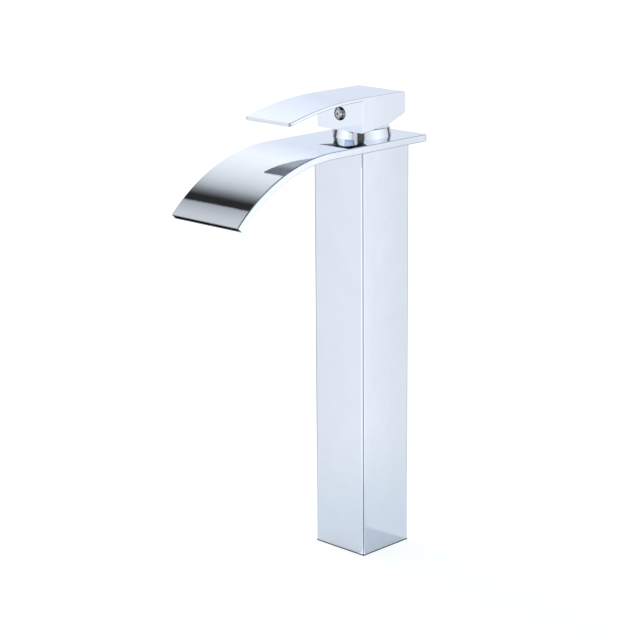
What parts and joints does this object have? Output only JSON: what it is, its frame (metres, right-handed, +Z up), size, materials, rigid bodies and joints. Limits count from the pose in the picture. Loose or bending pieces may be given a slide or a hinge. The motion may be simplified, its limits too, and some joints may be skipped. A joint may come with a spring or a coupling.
{
  "type": "waterfall basin faucet",
  "caption": "Tall square basin faucet with a wide flat spout that bends down to a slot mouth, and a block lever handle on top.",
  "frame": {"origin": "middle of the post's foot, on the underside of its gasket, which lies on the worktop", "axes": "+Z up along the post, the spout points along -Y, X runs across the spout"},
  "size_m": [0.0596, 0.1695, 0.3061],
  "materials": {
    "chrome": "polished",
    "brass": "machined",
    "steel": "machined",
    "rubber": "matt",
    "ceramic": "lapped",
    "plastic": "moulded"
  },
  "bodies": {
    "post": {"base_gasket": "rubber", "column_shell": "chrome", "base_block": "brass", "hot_riser_tube": "brass", "cold_riser_tube": "brass", "riser_seals": "rubber", "spout_cover": "chrome", "spout_floor": "chrome", "spout_spacer": "chrome", "valve_housing": "brass", "cartridge_base": "plastic", "port_seals": "rubber", "disc_seals": "rubber", "cartridge_body": "plastic", "fixed_disc": "ceramic", "retaining_nut": "brass", "bell_ring": "chrome"},
    "swivel": {"stem_carrier": "plastic", "pivot_pin": "steel"},
    "lever": {"stem": "steel", "handle": "chrome", "set_screw": "steel", "screw_plug": "chrome"},
    "mixing_disc": {"moving_disc": "ceramic", "disc_coupler": "plastic"}
  },
  "joints": [
    {"name": "temperature_swivel", "type": "hinge", "parent": "post", "child": "swivel", "pos_m": [0, 0, 0.275], "axis": [0, 0, 1], "range_deg": [-45, 45]},
    {"name": "lever_lift", "type": "hinge", "parent": "swivel", "child": "lever", "pos_m": [0, 0, 0.275], "axis": [-1, 0, 0], "range_deg": [0, 20]},
    {"name": "disc_slide", "type": "slide", "parent": "swivel", "child": "mixing_disc", "axis": [0, -1, 0], "range_m": [0, 0.0024]}
  ],
  "couplings": [
    {"joint": "disc_slide", "follows": "lever_lift", "m_per_rad": 0.006859}
  ]
}
